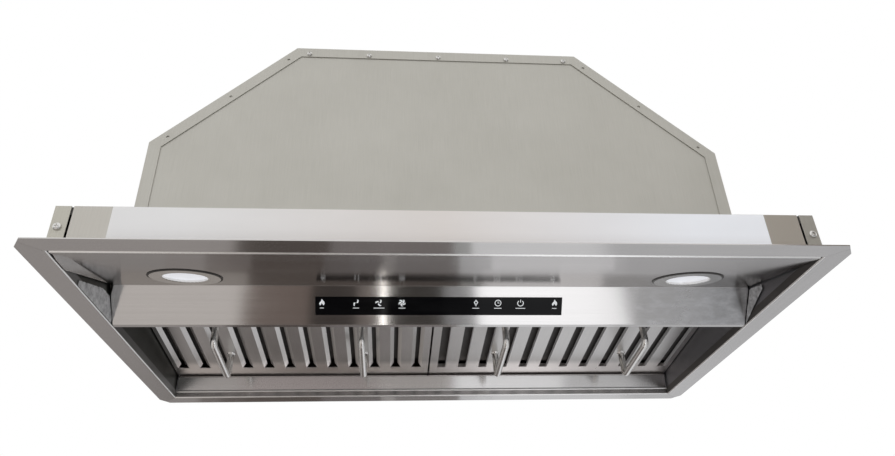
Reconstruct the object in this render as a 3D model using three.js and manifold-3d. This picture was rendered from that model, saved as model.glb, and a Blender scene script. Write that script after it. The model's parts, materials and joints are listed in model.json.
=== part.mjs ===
// Built-in range hood insert: a flanged underside with lamp panel, touch controls and two tilting
// baffle filters, under a cropped-shoulder housing that holds the blower.
// Millimetres, +X right, -Y front (the lamps' side), +Z up; origin at the flange underside's centre.
import * as THREE from "three";
import { mergeVertices } from "three/addons/utils/BufferGeometryUtils.js";
import Module from "manifold-3d";

const wasm = await Module();
wasm.setup();

// ---- driving dimensions -------------------------------------------------------------------------
const width = 900; // flange, left to right
const depth = 568; // flange, front to back
const rim = 27.5; // flange strip seen from below
const snipX = 12, snipY = 18; // corner snips of the flange
const sheet = 1.2; // body sheet
const thin = 1; // inner sheet
const lipHeight = 12; // upstand inside the flange
const seam = 0.15; // half the gap of a mitre seam
const beadRise = 0.4, beadLap = 0.5; // the bend under the skirts stands this much over the strip and out

const skirtFront = 54.5; // height of the front skirt
const deckZ = 88; // top of the deck
const deckSlope = 57.5; // from the front skirt back to the bend where the deck rises to it
const wrapWidth = 16.8; // side skirt folded onto the front
const slit = 2.6; // dark gap beside that fold

const houseSide = 67, shoulderRun = 178.5; // flange end to housing side; how far its shoulder slopes in
const houseShoulder = 213, houseTop = 388.5; // heights of its shoulder and of its top
const houseAhead = 120, houseLength = 388; // its front before the wheel's axis; front to back
const deckLedge = 38; // deck left inside the housing beside the opening
const band = 16; // folded border of the housing
const roofScrewIn = 18, roofScrewShare = 0.54; // screws along its top border, from the corner

const panelLap = 6.3, lampBreakZ = 1.2; // front bend of the lamp panel: behind the upstand, and its height
const lampRun = 158.2, creaseZ = 41.2; // from there back to the crease with the control fascia
const fasciaRun = 34.5, fasciaZ = 0.6; // from the crease back to the fascia's lower edge
const fasciaFold = 7, panelGap = 2; // fold under the fascia; gap beside the panel
const lampSide = 106.5, lampBack = 110.2; // lamp centre from the panel's end and from its front bend
const bezelR = 44, lensR = 26.3;
const glassWidth = 326.5, glassHeight = 24.3, glassDown = 27.3;

const filterTilt = 6; // degrees, up towards the front
const filterRearGap = 3, filterFrontGap = 5.64, filterSideGap = 1, filterInner = 1.5;
const filterRearZ = 36.65, filterThick = 11;
const slotCount = 12, slotBorder = 30, slotShift = 2.5, channelWidth = 25;
const slotWidth = 14, lipUp = 6.5; // right filter: upright lips along its slots
const slotWide = 18, slotThroat = 6.4, leanUp = 4.4, leanEnd = 8; // left filter: lips that lean in
const handleOff = 1.5, handleRod = 5, handleDrop = 40, handleRear = 82, handleLength = 114;
const railDepth = 12.5, railDrop = 0.35;

const outletY = 30; // centre line of the blower outlet and the duct collar
const wheelZ = 225, wheelR = 84, wheelHalf = 62;
const scrollStart = 95, scrollEnd = 134, scrollHalf = 72, outletHalf = 60;
const wheelY = outletY + outletHalf - scrollEnd;
const inletR = 58, shaftR = 4, bearing = 0.05;
const capacitorX = -230, capacitorR = 18, capacitorHeight = 62;
const flangeR = 92, boxGap = 20, boxIn = 22.5, boxHalf = 50, boxHeight = 38; // collar flange, junction box
const collarR = 75, collarHeight = 45, damperRise = 18, damperR = 72.6;

// ---- derived -------------------------------------------------------------------------------------
const halfW = width / 2, halfD = depth / 2;
const inX = halfW - rim, inY = halfD - rim; // inside of the upstand
const skX = inX + thin, skY = inY + thin; // inside of the skirts
const outX = skX + sheet, outY = skY + sheet;
const skirtFoot = sheet + beadRise, deckFold = -skY + deckSlope;
const houseHalf = halfW - houseSide, houseTopHalf = houseHalf - shoulderRun;
const houseFront = wheelY - houseAhead, houseBack = houseFront + houseLength;
const panelHalf = inX - panelGap, lampX = panelHalf - lampSide;
const lampBreak = -inY + panelLap, lampY = lampBreak + lampBack, creaseY = lampBreak + lampRun;
const fasciaY = creaseY + fasciaRun, fasciaReturn = fasciaY + fasciaFold;
const filterRearY = inY - filterRearGap, filterWidth = inX - filterInner - filterSideGap;
const filterLength = (filterRearY - fasciaReturn - filterFrontGap) / Math.cos(filterTilt * Math.PI / 180);
const slotPitch = filterWidth / slotCount, handleX = 3 * slotPitch + handleOff;
const handleFront = handleRear + handleLength;
const lampTilt = Math.atan2(creaseZ - lampBreakZ, creaseY - lampBreak);
const lampZ = lampBreakZ + (lampY - lampBreak) * Math.tan(lampTilt);
const fasciaTilt = Math.atan2(fasciaY - creaseY, creaseZ - fasciaZ);
const glassCentre = [0, creaseY + glassDown * Math.sin(fasciaTilt), creaseZ - glassDown * Math.cos(fasciaTilt)];
const collarTop = houseTop + collarHeight, damperZ = houseTop + damperRise;
const rad = Math.PI / 180;

// ---- materials -----------------------------------------------------------------------------------
const material = (color, roughness, metalness, extra = {}) =>
  new THREE.MeshStandardMaterial({ color, roughness, metalness, ...extra });
const brushed = () => material(0xa9a7a2, 0.34, 1);
const satin = () => material(0xa8a69b, 0.42, 0.9);
const galvanised = () => material(0x9a9d9f, 0.5, 0.9);
const polished = () => material(0xd4d6d8, 0.14, 1);
const blackMetal = () => material(0x202123, 0.55, 0.3);
const plastic = (c) => material(c, 0.45, 0);

// ---- solids ----------------------------------------------------------------------------------------
// A three.js geometry as a solid; a profile that ran the other way round is turned to face out.
function solid(geometry) {
  const g = (geometry.index ? geometry.toNonIndexed() : geometry).clone();
  g.deleteAttribute("normal");
  g.deleteAttribute("uv");
  const merged = mergeVertices(g, 1e-4);
  const p = merged.attributes.position.array, index = merged.index.array, tris = [];
  let volume = 0;
  for (let i = 0; i < index.length; i += 3) {
    const [a, b, c] = [index[i], index[i + 1], index[i + 2]];
    if (a === b || b === c || c === a) continue;
    tris.push(a, b, c);
    const [ax, ay, az, bx, by, bz, cx, cy, cz] = [a, b, c].flatMap((k) => [...p.slice(3 * k, 3 * k + 3)]);
    volume += ax * (by * cz - bz * cy) + ay * (bz * cx - bx * cz) + az * (bx * cy - by * cx);
  }
  if (volume < 0) for (let i = 0; i < tris.length; i += 3) [tris[i], tris[i + 1]] = [tris[i + 1], tris[i]];
  return new wasm.Manifold(
    new wasm.Mesh({ numProp: 3, vertProperties: p, triVerts: new Uint32Array(tris) }),
  );
}

const join = (...list) => list.flat().reduce((a, b) => a.add(b));
const cut = (body, ...tools) => tools.flat().reduce((a, b) => a.subtract(b), body);

function mesh(name, body, look) {
  const out = body.getMesh();
  const g = new THREE.BufferGeometry();
  const flat = new Float32Array(out.triVerts.length * 3);
  out.triVerts.forEach((v, i) => {
    for (let k = 0; k < 3; k++) flat[3 * i + k] = out.vertProperties[v * out.numProp + k];
  });
  g.setAttribute("position", new THREE.BufferAttribute(flat, 3));
  g.computeVertexNormals();
  const made = new THREE.Mesh(g, look);
  made.name = name;
  return made;
}

const turnTo = (g, x, y, z) => g.applyMatrix4(new THREE.Matrix4().makeBasis(
  new THREE.Vector3(...x), new THREE.Vector3(...y), new THREE.Vector3(...z)));
const alongX = (g) => turnTo(g, [0, 1, 0], [0, 0, 1], [1, 0, 0]); // drawn in (y, z)
const alongY = (g) => turnTo(g, [1, 0, 0], [0, 0, 1], [0, -1, 0]); // drawn in (x, z)

function box(x0, x1, y0, y1, z0, z1) {
  const g = new THREE.BoxGeometry(x1 - x0, y1 - y0, z1 - z0);
  g.translate((x0 + x1) / 2, (y0 + y1) / 2, (z0 + z1) / 2);
  return solid(g);
}

function prism(points, length) {
  const shape = new THREE.Shape(points.map(([a, b]) => new THREE.Vector2(a, b)));
  return new THREE.ExtrudeGeometry(shape, { depth: length, bevelEnabled: false, steps: 1 });
}
const prismX = (points, x0, x1) => solid(alongX(prism(points, x1 - x0)).translate(x0, 0, 0));
const prismY = (points, y0, y1) => solid(alongY(prism(points, y1 - y0)).translate(0, y1, 0));
const prismZ = (points, z0, z1) => solid(prism(points, z1 - z0).translate(0, 0, z0));

// Round bodies: a bar between two stations of an axis, and a profile of (radius, height) turned.
function rod(axis, r, from, to, u, v, sides = 32) {
  const g = new THREE.CylinderGeometry(r, r, to - from, sides).translate(0, (from + to) / 2, 0);
  if (axis === "y") return solid(g.translate(u, 0, v));
  if (axis === "x") return solid(turnTo(g, [0, 1, 0], [1, 0, 0], [0, 0, -1]).translate(0, u, v));
  return solid(turnTo(g, [1, 0, 0], [0, 0, 1], [0, -1, 0]).translate(u, v, 0));
}
function turned(profile, sides = 48) {
  const points = [...profile, profile[0]].map(([r, h]) => new THREE.Vector2(r, h));
  return turnTo(new THREE.LatheGeometry(points, sides), [1, 0, 0], [0, 0, 1], [0, -1, 0]);
}
const standing = (g, x, y, z) => solid(g.translate(x, y, z)); // turned about +Z
const lying = (g, x, y, z) => solid(turnTo(g, [0, 1, 0], [0, 0, 1], [1, 0, 0]).translate(x, y, z));

// A bent sheet: the given side of the profile and the same line set off by the sheet's thickness.
function bent(line, t) {
  const off = line.map((p, i) => {
    const dir = (a, b) => new THREE.Vector2(b[0] - a[0], b[1] - a[1]).normalize();
    const before = i ? dir(line[i - 1], p) : dir(p, line[1]);
    const after = i < line.length - 1 ? dir(p, line[i + 1]) : before;
    const n = new THREE.Vector2(-before.y - after.y, before.x + after.x).normalize();
    const grow = t / (n.x * -before.y + n.y * before.x);
    return [p[0] + n.x * grow, p[1] + n.y * grow];
  });
  return [...line, ...off.reverse()];
}
const mirrored = (points) => points.map(([a, b]) => [-a, b]).reverse();

// ---- flange and skirts -----------------------------------------------------------------------------
// Where the mitre from the inner corner meets the snipped outer corner.
const k = snipY / snipX;
const mitreX = -(halfD + k * (halfW - snipX) + (inX - inY)) / (1 + k);
const mitreY = mitreX + inX - inY;

function flangeEnd(sign) { // front (-1) or rear (+1)
  const s = seam, e = halfD * sign;
  const plan = [[-inX + s, sign * inY], [mitreX + s, -sign * mitreY], [-halfW + snipX, e],
    [halfW - snipX, e], [-mitreX - s, -sign * mitreY], [inX - s, sign * inY]];
  const [y0, y1] = sign < 0 ? [-inY - thin, -inY] : [inY, inY + thin];
  const out = outY + beadLap, w = inX - s + out - inY;
  const bead = [[-inX + s, sign * inY], [-w, sign * out], [w, sign * out], [inX - s, sign * inY]];
  return join(prismZ(plan, 0, sheet), prismZ(bead, 0, skirtFoot),
    box(-inX + s, inX - s, y0, y1, 0, lipHeight));
}
function flangeSide(sign) {
  const s = seam;
  const plan = [[-inX, -inY + s], [mitreX, mitreY + s], [-halfW, -halfD + snipY],
    [-halfW, halfD - snipY], [mitreX, -mitreY - s], [-inX, inY - s]];
  const out = outX + beadLap, w = inY - s + out - inX;
  const bead = [[-inX, -inY + s], [-out, -w], [-out, w], [-inX, inY - s]];
  const side = (p, top) => prismZ(sign < 0 ? p : mirrored(p), 0, top);
  const [x0, x1] = sign < 0 ? [-inX - thin, -inX] : [inX, inX + thin];
  return join(side(plan, sheet), side(bead, skirtFoot), box(x0, x1, -inY + s, inY - s, 0, lipHeight));
}

function skirtSide(sign) {
  const side = [[-outY, skirtFoot], [outY, skirtFoot], [outY, deckZ], [deckFold, deckZ],
    [-outY, skirtFront]];
  const [x0, x1] = sign < 0 ? [-outX, -skX] : [skX, outX];
  const [w0, w1] = sign < 0 ? [-outX, -outX + wrapWidth] : [outX - wrapWidth, outX];
  return join(prismX(side, x0, x1), box(w0, w1, -outY, -skY, skirtFoot, skirtFront));
}
const skirtFrontPanel = () => {
  const half = outX - wrapWidth - slit;
  return box(-half, half, -outY, -skY, skirtFoot, skirtFront);
};
const skirtRearPanel = () => box(-skX, skX, skY, outY, skirtFoot, deckZ);

function deck() {
  const line = [[-skY, skirtFront - 10], [-skY, skirtFront - 0.8], [deckFold, deckZ], [skY, deckZ]];
  const body = prismX(bent(line.reverse(), sheet), -skX, skX);
  return cut(body, box(-houseHalf + deckLedge, houseHalf - deckLedge, wheelY + 14, houseBack - 24,
    deckZ - 30, deckZ + 30));
}

// ---- housing -----------------------------------------------------------------------------------------
const houseLine = (inset) => { // outline of the right wing's outer face, moved in by inset
  const slope = Math.hypot(houseHalf - houseTopHalf, houseTop - houseShoulder);
  const run = (houseHalf - houseTopHalf) / slope, fall = (houseTop - houseShoulder) / slope;
  const topX = houseTopHalf - inset * (1 - run) / fall;
  const sideZ = houseShoulder - inset * (1 - fall) / run;
  return { topX, topZ: houseTop - inset, sideX: houseHalf - inset, sideZ,
    cutZ: houseTop - inset / run };
};
function wing(sign) {
  const o = houseLine(0), i = houseLine(sheet), b = houseLine(band), at = houseTopHalf;
  const outer = [[at, o.topZ], [o.sideX, o.sideZ], [o.sideX, deckZ]];
  const skin = [...outer, [i.sideX, deckZ], [i.sideX, i.sideZ], [at, i.cutZ]];
  const border = [...outer, [b.sideX, deckZ], [b.sideX, b.sideZ], [at, b.cutZ]];
  const side = (p) => (sign < 0 ? mirrored(p) : p);
  const slope = new THREE.Vector2(o.sideX - at, o.sideZ - o.topZ).normalize();
  const hole = (d) => { // fixing holes along the sloping border
    const x = at + slope.x * d + slope.y * 9, z = o.topZ + slope.y * d - slope.x * 9;
    return rod("y", 2.2, houseFront - 1, houseFront + sheet + 1, sign * x, z, 12);
  };
  return cut(join(prismY(side(skin), houseFront, houseBack),
    prismY(side(border), houseFront, houseFront + sheet),
    prismY(side(border), houseBack - sheet, houseBack)), hole(24), hole(126), hole(228));
}
function houseRoof() {
  const i = houseLine(sheet), b = houseLine(band), at = houseTopHalf;
  const border = [[-at, houseTop], [-at, b.cutZ], [-b.topX, b.topZ], [b.topX, b.topZ], [at, b.cutZ],
    [at, houseTop]];
  const skin = [[-at, houseTop], [-at, i.cutZ], [-i.topX, i.topZ], [i.topX, i.topZ], [at, i.cutZ],
    [at, houseTop]];
  const body = join(prismY(skin, houseFront, houseBack),
    prismY(border, houseFront, houseFront + sheet), prismY(border, houseBack - sheet, houseBack));
  return cut(body, rod("z", collarR - 1, houseTop - 9, houseTop + 9, 0, outletY, 48));
}
function housePanel(y0, y1) {
  const p = houseLine(sheet + 0.3);
  const right = [[p.topX, p.topZ], [p.sideX, p.sideZ], [p.sideX, deckZ]];
  return prismY([...right, ...mirrored(right)], y0, y1);
}

// ---- lamp panel and control fascia ---------------------------------------------------------------------
function controlPanel() {
  const line = [[-inY + 0.2, 0.4], [lampBreak, lampBreakZ], [creaseY, creaseZ], [fasciaY, fasciaZ],
    [fasciaReturn, fasciaZ]];
  const web = [[lampBreak + 4.2, 2.8], [lampBreak + 14.2, 0.8], [lampBreak + 38.2, 0.8],
    [creaseY - 21, creaseZ - 6.4], [creaseY - 8, creaseZ - 1.6]];
  const end = (sign) => prismX(web,
    sign < 0 ? -panelHalf : panelHalf - thin, sign < 0 ? -panelHalf + thin : panelHalf);
  const body = join(prismX(bent(line, thin), -panelHalf, panelHalf), end(-1), end(1));
  const lampHole = (x) => solid(turnTo(new THREE.CylinderGeometry(37, 37, 24, 36), [1, 0, 0],
    [0, 0, 1], [0, -1, 0]).rotateX(lampTilt).translate(x, lampY, lampZ));
  const g = new THREE.BoxGeometry(glassWidth + 0.6, 12, glassHeight + 0.6).rotateX(fasciaTilt);
  return cut(body, lampHole(-lampX), lampHole(lampX), solid(g.translate(...glassCentre)));
}

function lamp(name, x) {
  const group = new THREE.Group();
  group.position.set(x, lampY, lampZ);
  group.rotation.x = lampTilt;
  const bezel = turned([[lensR, -1.1], [lensR + 1.6, -1.6], [41.5, -1.6], [bezelR, -0.8], [bezelR, -0.3],
    [36.5, -0.3], [36.5, 8], [34.5, 8], [34.5, 1.4], [lensR, 1.4]], 36);
  const lens = rod("z", 34.2, 1.7, 4.2, 0, 0, 36);
  const body = turned([[0, 4.5], [34.2, 4.5], [34.2, 8.3], [36.5, 8.3], [36.5, 20], [28, 24], [0, 24]], 32);
  group.add(mesh(`lamp_bezel_${name}`, solid(bezel), polished()),
    mesh(`lamp_lens_${name}`, lens, material(0xf4f7fb, 0.25, 0)),
    mesh(`lamp_body_${name}`, solid(body), plastic(0x2a2b2d)));
  return group;
}

function controls() {
  const group = new THREE.Group();
  group.position.set(...glassCentre);
  group.rotation.x = fasciaTilt;
  const w = glassWidth / 2, h = glassHeight / 2;
  group.add(mesh("control_glass", box(-w, w, -0.3, 2.2, -h, h), material(0x08080a, 0.08, 0.1)),
    mesh("control_board", box(-w, w, 2.5, 4.1, -h - 1, h + 1), plastic(0x1d5b3a)));
  return group;
}

// ---- filters ---------------------------------------------------------------------------------------------
const slotsAt = (cx) => Array.from({ length: slotCount },
  (_, i) => cx + Math.sign(cx) * slotShift + (i - (slotCount - 1) / 2) * slotPitch);

// A lip on the +x side of a slot at x = 0 that leans in over it and tapers out at both ends.
function leaningLip(front, rear) {
  const half = slotWide / 2, throat = slotThroat / 2;
  const section = [[throat, leanUp], [half, 0], [half + 0.6, 0], [half + 0.6, sheet], [half + 0.1, sheet],
    [throat + 0.6, leanUp + 0.8]];
  const plan = [[half + 0.6, rear], [half, rear], [throat, rear - leanEnd], [throat, front + leanEnd],
    [half, front], [half + 0.6, front]];
  return prismY(section, front, rear).intersect(prismZ(plan, -1, 9));
}
// Lower tray: a slotted face, turned-up edges and a turned-up lip along both sides of every slot.
function filterTray(cx) {
  const w = filterWidth / 2, t = sheet, rear = -slotBorder, front = -filterLength + slotBorder;
  const leans = cx < 0, half = (leans ? slotWide : slotWidth) / 2;
  const slots = slotsAt(cx).map((x) => box(x - half, x + half, front, rear, -1, 20));
  const tray = cut(box(cx - w, cx + w, -filterLength, 0, 0, filterThick),
    box(cx - w + t, cx + w - t, -filterLength + t, -t, t, filterThick + 1));
  if (!leans) {
    return cut(join(tray, slotsAt(cx).map((x) =>
      box(x - half - 1, x + half + 1, front - 1, rear + 1, 0, lipUp))), slots);
  }
  const lip = leaningLip(front, rear), other = lip.mirror([1, 0, 0]);
  return join(cut(tray, slots), slotsAt(cx).flatMap((x) =>
    [lip.translate([x, 0, 0]), other.translate([x, 0, 0])]));
}
// Upper comb: an inverted channel over every slot, tied by two cross bars.
function filterComb(cx) {
  const w = filterWidth / 2 - 1.5, v0 = -filterLength + 1.5, v1 = -1.5, top = filterThick - 0.4;
  const channels = slotsAt(cx).map((x) => cut(box(x - channelWidth / 2, x + channelWidth / 2, v0, v1, 4, top),
    box(x - channelWidth / 2 + 1, x + channelWidth / 2 - 1, v0 - 1, v1 + 1, 3, top - 1)));
  const bars = [slotBorder, filterLength - slotBorder].map((v) =>
    box(cx - w, cx + w, -v - 5, -v + 5, top - 1, top));
  return join(channels, bars);
}
function handle(x) {
  const bar = -handleDrop, bend = (y) => solid(new THREE.SphereGeometry(handleRod, 16, 8)
    .rotateZ(Math.PI / 16).translate(x, y, bar));
  return join(rod("y", handleRod, -handleFront, -handleRear, x, bar, 16), bend(-handleFront),
    bend(-handleRear), rod("z", handleRod, bar, 0, x, -handleFront, 16),
    rod("z", handleRod, bar, 0, x, -handleRear, 16));
}
function filters() {
  const group = new THREE.Group();
  group.position.set(0, filterRearY, filterRearZ);
  group.rotation.x = -filterTilt * rad;
  for (const [side, sign] of [["left", -1], ["right", 1]]) {
    const cx = sign * (filterInner + filterWidth / 2);
    group.add(mesh(`filter_frame_${side}`, filterTray(cx), brushed()),
      mesh(`filter_baffles_${side}`, filterComb(cx), brushed()),
      mesh(`filter_handle_${side}_outer`, handle(cx + sign * (slotShift + handleX)), polished()),
      mesh(`filter_handle_${side}_inner`, handle(cx + sign * (slotShift - handleX)), polished()));
  }
  return group;
}
const railTop = filterRearZ - railDrop, railFront = fasciaReturn - 2.2;
const rearRail = () => prismX(bent([[inY + 0.4, railTop], [filterRearY - 3.3, railTop],
  [inY - 0.2, lipHeight + 0.6]], sheet), -panelHalf, panelHalf);
const frontRail = () => join(
  box(-panelHalf, panelHalf, railFront, railFront + thin, fasciaZ + thin, deckZ - sheet),
  box(-panelHalf, panelHalf, railFront, fasciaReturn + railDepth, deckZ - sheet - thin, deckZ - sheet));

// ---- blower ------------------------------------------------------------------------------------------------
function scroll() {
  const spiral = (less) => Array.from({ length: 28 }, (_, i) => {
    const a = (90 + i * 10) * rad, r = scrollStart + (scrollEnd - scrollStart) * i / 27 - less;
    return [wheelY + r * Math.cos(a), wheelZ + r * Math.sin(a)];
  });
  const roof = houseTop - sheet;
  const y0 = outletY - outletHalf, y1 = outletY + outletHalf;
  const outer = [...spiral(0), [y1, roof], [y0, roof], [y0, wheelZ + 99]];
  const inner = [...spiral(sheet), [y1 - sheet, roof + 5], [y0 + sheet, roof + 5], [y0 + sheet, wheelZ + 97]];
  return cut(prismX(outer, -scrollHalf, scrollHalf), prismX(inner, -scrollHalf + sheet, scrollHalf - sheet),
    rod("x", inletR + 4, -scrollHalf - 5, scrollHalf + 5, wheelY, wheelZ, 40));
}
function inletRing(sign) {
  const profile = [[inletR, 0], [72, 0], [72, 1.6], [64, 3], [inletR + 1, 3]];
  const g = turned(profile, 40);
  if (sign < 0) g.rotateX(Math.PI);
  return lying(g, sign * scrollHalf, wheelY, wheelZ);
}
function wheel() {
  const ring = [[68, -wheelHalf], [wheelR, -wheelHalf], [wheelR, -wheelHalf + 3], [68, -wheelHalf + 3]];
  const blades = Array.from({ length: 24 }, (_, i) => solid(new THREE.BoxGeometry(15, 1.4, 2 * wheelHalf - 4)
    .rotateZ(35 * rad).translate(76, 0, 0).rotateZ(i * 15 * rad)));
  const hub = join(solid(turned([[0, -1.2], [wheelR, -1.2], [wheelR, 1.2], [14, 1.2], [14, 8], [0, 8]], 48)),
    solid(turned(ring)), solid(turned(ring.map(([r, h]) => [r, -h]))), blades);
  const body = cut(hub, rod("z", shaftR + bearing, -20, 20, 0, 0, 48));
  const raw = mesh("raw", body, null).geometry;
  return lying(raw, 0, wheelY, wheelZ);
}
function motor() {
  const profile = [[0, 12], [32, 12], [45, 18], [45, 77.5], [52, 77.5], [52, 80], [44, 80], [40, 94], [30, 98],
    [0, 98]];
  return cut(lying(turned(profile, 40), 0, wheelY, wheelZ),
    rod("x", shaftR + bearing, 0, 58, wheelY, wheelZ, 48));
}
function motorMount() {
  const x0 = scrollHalf + 3, x1 = x0 + 2.5;
  const ring = (r0, r1) => lying(turned([[r0, x0], [r1, x0], [r1, x1], [r0, x1]], 40), 0, wheelY, wheelZ);
  const arms = [90, 210, 330].map((a) => solid(new THREE.BoxGeometry(16, 12, x1 - x0)
    .translate(57, 0, (x0 + x1) / 2).rotateZ(a * rad)));
  const cross = lying(mesh("raw", join(arms.slice(0, 1)), null).geometry, 0, wheelY, wheelZ);
  const others = arms.slice(1).map((a) => lying(mesh("raw", a, null).geometry, 0, wheelY, wheelZ));
  return join(ring(45.4, 52), ring(64, 71), cross, others);
}

// ---- duct collar and backdraft damper ------------------------------------------------------------------------
function collar() {
  const body = standing(turned([[collarR - 1, houseTop], [collarR, houseTop], [collarR, collarTop],
    [collarR - 1, collarTop]], 48), 0, 0, 0);
  const stop = (y0, y1) => box(-6, 6, y0, y1, damperZ - 2.6, damperZ - 0.7);
  return join(body, stop(66, collarR - 0.5), stop(-collarR + 0.5, -66));
}
const collarFlange = () => standing(turned([[collarR, houseTop], [flangeR, houseTop],
  [flangeR, houseTop + 1.5], [collarR, houseTop + 1.5]], 48), 0, 0, 0);
function flap(sign) {
  const start = Math.acos(3.2 / damperR);
  const arc = Array.from({ length: 25 }, (_, i) => {
    const a = Math.PI / 2 - start + (2 * start * i) / 24;
    return [damperR * Math.cos(a), sign * damperR * Math.sin(a)];
  });
  return prismZ(arc, damperZ - 0.6, damperZ + 0.6);
}

// ---- wiring ------------------------------------------------------------------------------------------------------
const boxInner = flangeR + boxGap, boxOuter = houseTopHalf - boxIn, boxSheet = 1.5;
const powerBox = () => cut(box(boxInner, boxOuter, -boxHalf, boxHalf, houseTop, houseTop + boxHeight),
  box(boxInner + boxSheet, boxOuter - boxSheet, -boxHalf + boxSheet, boxHalf - boxSheet,
    houseTop + boxSheet, houseTop + boxHeight + 1));
const powerBoxLid = () => box(boxInner, boxOuter, -boxHalf, boxHalf,
  houseTop + boxHeight, houseTop + boxHeight + boxSheet);
const gland = () => lying(turned([[0, 0], [13, 0], [13, 6], [9, 6], [9, 18], [5, 21], [0, 21]], 24),
  boxOuter, -20, houseTop + boxHeight / 2);

// A pan head that stands on the plane y and faces the front.
function screw(name, r, x, y, z) {
  const g = turned([[0, 0], [r, 0], [r * 0.9, r * 0.38], [r * 0.55, r * 0.6], [0, r * 0.62]], 16);
  const head = cut(solid(g), solid(new THREE.BoxGeometry(r, r * 0.22, r * 0.5).translate(0, 0, r * 0.6)),
    solid(new THREE.BoxGeometry(r * 0.22, r, r * 0.5).translate(0, 0, r * 0.6)));
  const body = turnTo(mesh("raw", head, null).geometry, [1, 0, 0], [0, 0, 1], [0, -1, 0]);
  return mesh(name, solid(body.translate(x, y, z)), polished());
}

// ---- assembly ------------------------------------------------------------------------------------------------------
const hood = new THREE.Group();
hood.name = "range_hood_insert";

const base = new THREE.Group();
base.add(mesh("flange_front", flangeEnd(-1), brushed()), mesh("flange_rear", flangeEnd(1), brushed()),
  mesh("flange_left", flangeSide(-1), brushed()), mesh("flange_right", flangeSide(1), brushed()),
  mesh("skirt_front", skirtFrontPanel(), brushed()), mesh("skirt_rear", skirtRearPanel(), galvanised()),
  mesh("skirt_left", skirtSide(-1), satin()), mesh("skirt_right", skirtSide(1), satin()),
  mesh("top_deck", deck(), galvanised()),
  mesh("protective_film", box(-inX + 57.5, inX - 57.5, -outY - 0.3, -outY, 3, skirtFront - 1), plastic(0xeef0f4)),
  mesh("control_panel", controlPanel(), brushed()), mesh("filter_rear_rail", rearRail(), brushed()),
  mesh("filter_front_rail", frontRail(), galvanised()),
  lamp("left", -lampX), lamp("right", lampX), controls(), filters());

const house = new THREE.Group();
house.add(mesh("housing_wing_left", wing(-1), satin()), mesh("housing_wing_right", wing(1), satin()),
  mesh("housing_roof", houseRoof(), satin()),
  mesh("housing_front_panel", housePanel(houseFront + sheet, houseFront + 2 * sheet), satin()),
  mesh("housing_back_panel", housePanel(houseBack - 2 * sheet, houseBack - sheet), satin()));

const blower = new THREE.Group();
blower.add(mesh("blower_scroll", scroll(), galvanised()), mesh("blower_wheel", wheel(), blackMetal()),
  mesh("inlet_ring_left", inletRing(-1), plastic(0x2c2d2f)),
  mesh("inlet_ring_right", inletRing(1), plastic(0x2c2d2f)), mesh("motor_body", motor(), blackMetal()),
  mesh("motor_shaft", rod("x", shaftR, -1, 54, wheelY, wheelZ, 48), polished()),
  mesh("motor_mount", motorMount(), galvanised()),
  mesh("motor_capacitor", rod("z", capacitorR, deckZ, deckZ + capacitorHeight, capacitorX,
    houseFront + 44, 32), plastic(0xd8d8d4)));

const outlet = new THREE.Group();
outlet.position.y = outletY;
outlet.add(mesh("duct_collar", collar(), galvanised()), mesh("collar_flange", collarFlange(), galvanised()),
  mesh("damper_pin", rod("x", 2.5, -collarR + 1.3, collarR - 1.3, 0, damperZ, 16), polished()),
  mesh("damper_flap_front", flap(-1), galvanised()), mesh("damper_flap_rear", flap(1), galvanised()),
  mesh("power_box", powerBox(), galvanised()),
  mesh("power_box_lid", powerBoxLid(), galvanised()),
  mesh("cable_gland", gland(), plastic(0x1c1c1e)));

const screws = new THREE.Group();
const skirtScrew = outX - wrapWidth / 2 + 0.7, roofScrew = houseTopHalf - roofScrewIn;
screws.add(screw("skirt_screw_left", 4.6, -skirtScrew, -outY, skirtFront / 2 + 1.35),
  screw("skirt_screw_right", 4.6, skirtScrew, -outY, skirtFront / 2 + 1.35));
[-1, -roofScrewShare, 0, roofScrewShare, 1].forEach((share, i) =>
  screws.add(screw(`roof_screw_${i + 1}`, 3.8, share * roofScrew, houseFront, houseTop - 11)));

hood.add(base, house, blower, outlet, screws);

export default hood;
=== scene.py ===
"""Looks of the built-in range hood insert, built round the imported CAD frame."""

import json
import math

import bmesh
import bpy
from mathutils import Matrix, Vector, noise

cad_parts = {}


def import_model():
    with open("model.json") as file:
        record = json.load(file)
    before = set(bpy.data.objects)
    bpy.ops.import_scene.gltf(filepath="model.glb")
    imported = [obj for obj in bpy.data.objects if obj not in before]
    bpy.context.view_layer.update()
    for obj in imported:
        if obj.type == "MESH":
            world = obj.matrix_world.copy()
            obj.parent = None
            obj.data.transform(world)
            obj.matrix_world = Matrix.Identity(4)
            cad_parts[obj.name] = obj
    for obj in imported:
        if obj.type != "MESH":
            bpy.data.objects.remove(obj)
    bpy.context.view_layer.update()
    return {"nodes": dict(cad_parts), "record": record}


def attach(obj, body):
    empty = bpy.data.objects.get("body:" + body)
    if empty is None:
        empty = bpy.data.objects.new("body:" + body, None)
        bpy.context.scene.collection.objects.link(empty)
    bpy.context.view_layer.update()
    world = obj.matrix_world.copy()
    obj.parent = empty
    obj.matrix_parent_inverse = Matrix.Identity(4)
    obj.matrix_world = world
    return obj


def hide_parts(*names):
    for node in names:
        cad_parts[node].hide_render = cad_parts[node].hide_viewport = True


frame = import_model()
nodes = frame["nodes"]
MM = 0.001

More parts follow.
